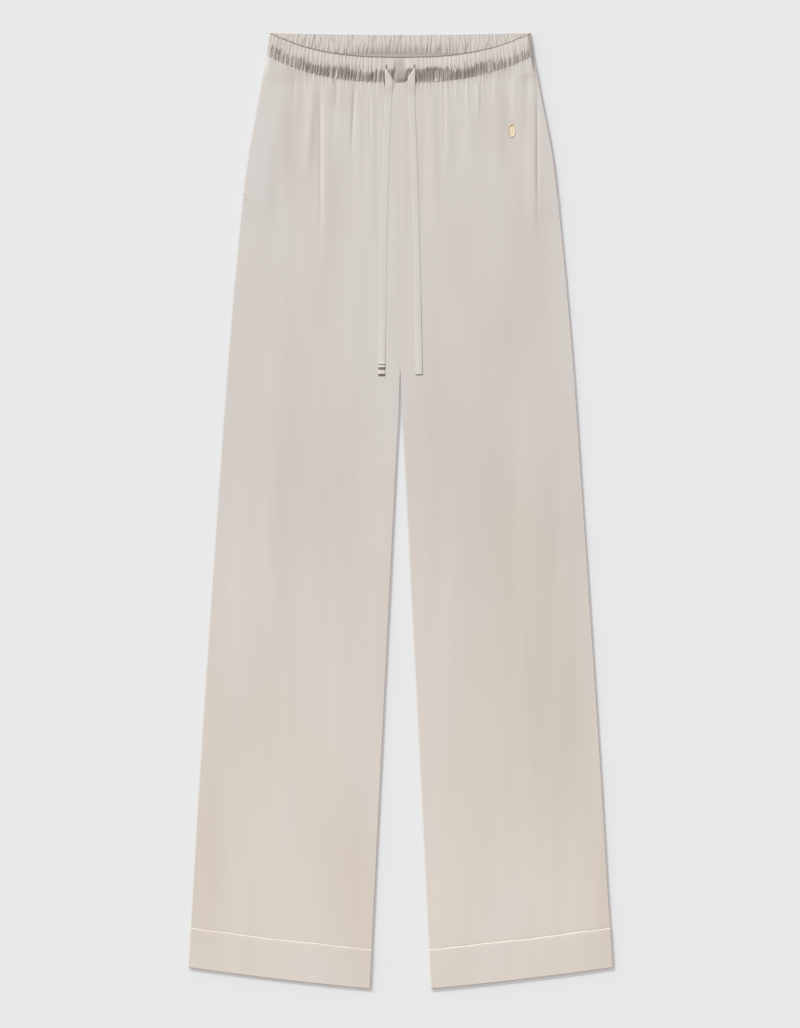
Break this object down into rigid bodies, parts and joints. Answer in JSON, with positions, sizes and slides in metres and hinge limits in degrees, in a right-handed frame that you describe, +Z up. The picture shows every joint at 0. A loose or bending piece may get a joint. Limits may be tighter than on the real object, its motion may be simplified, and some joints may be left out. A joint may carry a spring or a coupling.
{
  "type": "wide-leg pants",
  "caption": "Wide-leg satin pants laid flat, with a gathered elastic waist, a flat drawstring, in-seam pockets and piped turned-up hem bands.",
  "frame": {"origin": "on the surface under the garment, at the middle of its length and width", "axes": "+Z up from the surface, +Y towards the waist, +X towards the wearer's left"},
  "size_m": [0.496, 1.1178, 0.0092],
  "materials": {
    "satin": "satin weave, soft sheen",
    "casing": "satin weave, gathered",
    "hem": "satin weave, two layers",
    "piping": "folded satin bias",
    "tape": "satin tape",
    "plate": "polished pale gold"
  },
  "bodies": {
    "root": {"front_right": "satin", "front_left": "satin", "back_right": "satin", "back_left": "satin", "waistband_front": "casing", "waistband_back": "casing", "hem_band_front_right": "hem", "hem_band_front_left": "hem", "hem_band_back_right": "hem", "hem_band_back_left": "hem", "hem_piping_front_right": "piping", "hem_piping_front_left": "piping", "hem_piping_back_right": "piping", "hem_piping_back_left": "piping", "pocket_right": "satin", "pocket_left": "satin", "drawstring_right": "tape", "drawstring_left": "tape", "hip_plate": "plate"}
  },
  "joints": []
}
